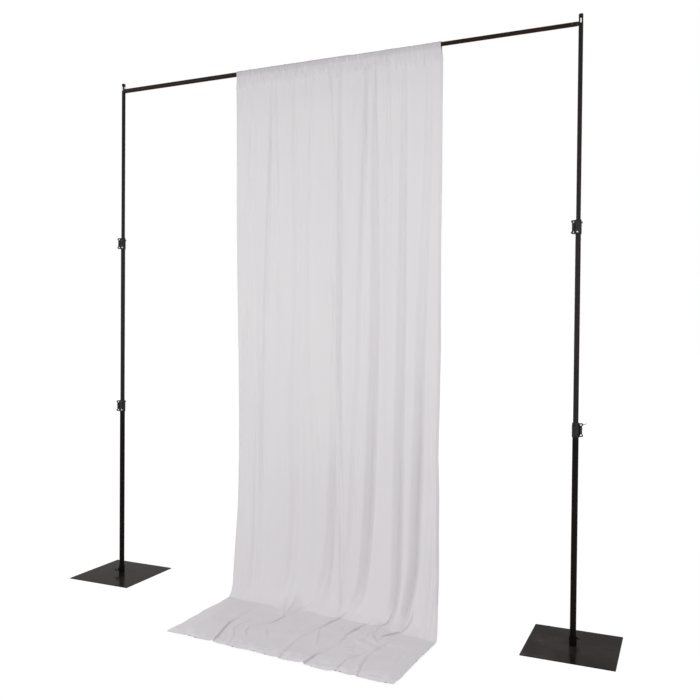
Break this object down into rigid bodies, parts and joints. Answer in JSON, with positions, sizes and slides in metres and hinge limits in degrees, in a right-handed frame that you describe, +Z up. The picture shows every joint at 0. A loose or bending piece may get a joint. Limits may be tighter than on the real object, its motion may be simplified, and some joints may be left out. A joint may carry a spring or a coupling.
{
  "type": "pipe and drape backdrop",
  "caption": "Free-standing backdrop: telescopic uprights on square base plates hold up a telescopic crossbar, and the cloth panel hung on it trails on the floor.",
  "frame": {"origin": "on the floor, at the centre of the outline seen from above: midway between the uprights, and midway between the front hem of the cloth and the back edges of the base plates", "axes": "+X along the crossbar from the left upright to the right one, +Y away from the cloth's train towards the back, +Z up"},
  "size_m": [3.172, 0.97, 3.05],
  "materials": {
    "plate_enamel": "gloss",
    "tube_paint": "semi-gloss",
    "clamp_plastic": "satin",
    "nylon": "matt",
    "zinc_steel": "zinc plated",
    "cloth": "plain weave, matt"
  },
  "bodies": {
    "left_base": {"left_base_plate": "plate_enamel", "left_base_socket": "tube_paint", "left_lower_tube": "tube_paint", "left_lower_clamp_collar": "clamp_plastic", "left_lower_clamp_eye_bolt": "zinc_steel", "left_lower_clamp_nut": "zinc_steel", "left_lower_clamp_screw": "zinc_steel", "drape_train": "cloth"},
    "left_wing_screw": {"left_wing_screw": "zinc_steel"},
    "left_lower_lever": {"left_lower_clamp_lever": "clamp_plastic", "left_lower_clamp_pin": "zinc_steel"},
    "left_mid": {"left_mid_tube": "tube_paint", "left_mid_tube_plug": "nylon", "left_upper_clamp_collar": "clamp_plastic", "left_upper_clamp_eye_bolt": "zinc_steel", "left_upper_clamp_nut": "zinc_steel", "left_upper_clamp_screw": "zinc_steel"},
    "left_upper_lever": {"left_upper_clamp_lever": "clamp_plastic", "left_upper_clamp_pin": "zinc_steel"},
    "left_top": {"left_top_tube": "tube_paint", "left_top_tube_plug": "nylon", "left_head": "tube_paint", "left_head_cap": "clamp_plastic", "crossbar_outer_tube": "tube_paint", "crossbar_mouth_ring": "nylon", "crossbar_left_hook": "zinc_steel", "crossbar_left_rivet": "zinc_steel", "drape": "cloth"},
    "right_top": {"crossbar_inner_tube": "tube_paint", "crossbar_guide_plug": "nylon", "crossbar_right_hook": "zinc_steel", "crossbar_right_rivet": "zinc_steel", "right_top_tube": "tube_paint", "right_top_tube_plug": "nylon", "right_head": "tube_paint", "right_head_cap": "clamp_plastic"},
    "right_mid": {"right_mid_tube": "tube_paint", "right_mid_tube_plug": "nylon", "right_upper_clamp_collar": "clamp_plastic", "right_upper_clamp_eye_bolt": "zinc_steel", "right_upper_clamp_nut": "zinc_steel", "right_upper_clamp_screw": "zinc_steel"},
    "right_upper_lever": {"right_upper_clamp_lever": "clamp_plastic", "right_upper_clamp_pin": "zinc_steel"},
    "right_base": {"right_base_plate": "plate_enamel", "right_base_socket": "tube_paint", "right_lower_tube": "tube_paint", "right_lower_clamp_collar": "clamp_plastic", "right_lower_clamp_eye_bolt": "zinc_steel", "right_lower_clamp_nut": "zinc_steel", "right_lower_clamp_screw": "zinc_steel"},
    "right_lower_lever": {"right_lower_clamp_lever": "clamp_plastic", "right_lower_clamp_pin": "zinc_steel"},
    "right_wing_screw": {"right_wing_screw": "zinc_steel"}
  },
  "joints": [
    {"name": "left_lower_slide", "type": "slide", "parent": "left_base", "child": "left_mid", "axis": [0, 0, 1], "range_m": [-0.88, 0], "deforming": ["drape"]},
    {"name": "left_upper_slide", "type": "slide", "parent": "left_mid", "child": "left_top", "axis": [0, 0, 1], "range_m": [-0.88, 0], "deforming": ["drape"]},
    {"name": "crossbar_extend", "type": "slide", "parent": "left_top", "child": "right_top", "axis": [1, 0, 0], "range_m": [-0.35, 0.3]},
    {"name": "right_upper_slide", "type": "slide", "parent": "right_top", "child": "right_mid", "axis": [0, 0, -1], "range_m": [-0.88, 0]},
    {"name": "right_lower_slide", "type": "slide", "parent": "right_mid", "child": "right_base", "axis": [0, 0, -1], "range_m": [-0.88, 0]},
    {"name": "left_lower_lever_flip", "type": "hinge", "parent": "left_base", "child": "left_lower_lever", "pos_m": [-1.39819, 0.27147, 1.053], "axis": [0, 0, 1], "range_deg": [0, 110]},
    {"name": "left_upper_lever_flip", "type": "hinge", "parent": "left_mid", "child": "left_upper_lever", "pos_m": [-1.39641, 0.27238, 2.062], "axis": [0, 0, 1], "range_deg": [0, 110]},
    {"name": "right_upper_lever_flip", "type": "hinge", "parent": "right_mid", "child": "right_upper_lever", "pos_m": [1.3503, 0.28692, 2.032], "axis": [0, 0, 1], "range_deg": [0, 110]},
    {"name": "right_lower_lever_flip", "type": "hinge", "parent": "right_base", "child": "right_lower_lever", "pos_m": [1.39522, 0.25615, 1.053], "axis": [0, 0, 1], "range_deg": [0, 110]},
    {"name": "left_wing_screw_turn", "type": "hinge", "parent": "left_base", "child": "left_wing_screw", "pos_m": [-1.37, 0.269, 0.031], "axis": [-0.3256, -0.9455, 0], "range_deg": [0, 360]},
    {"name": "right_wing_screw_turn", "type": "hinge", "parent": "right_base", "child": "right_wing_screw", "pos_m": [1.37, 0.269, 0.031], "axis": [0.3256, 0.9455, 0], "range_deg": [0, 360]}
  ],
  "couplings": [
    {"joint": "right_upper_slide", "follows": "left_upper_slide", "ratio": 1},
    {"joint": "right_lower_slide", "follows": "left_lower_slide", "ratio": 1}
  ]
}
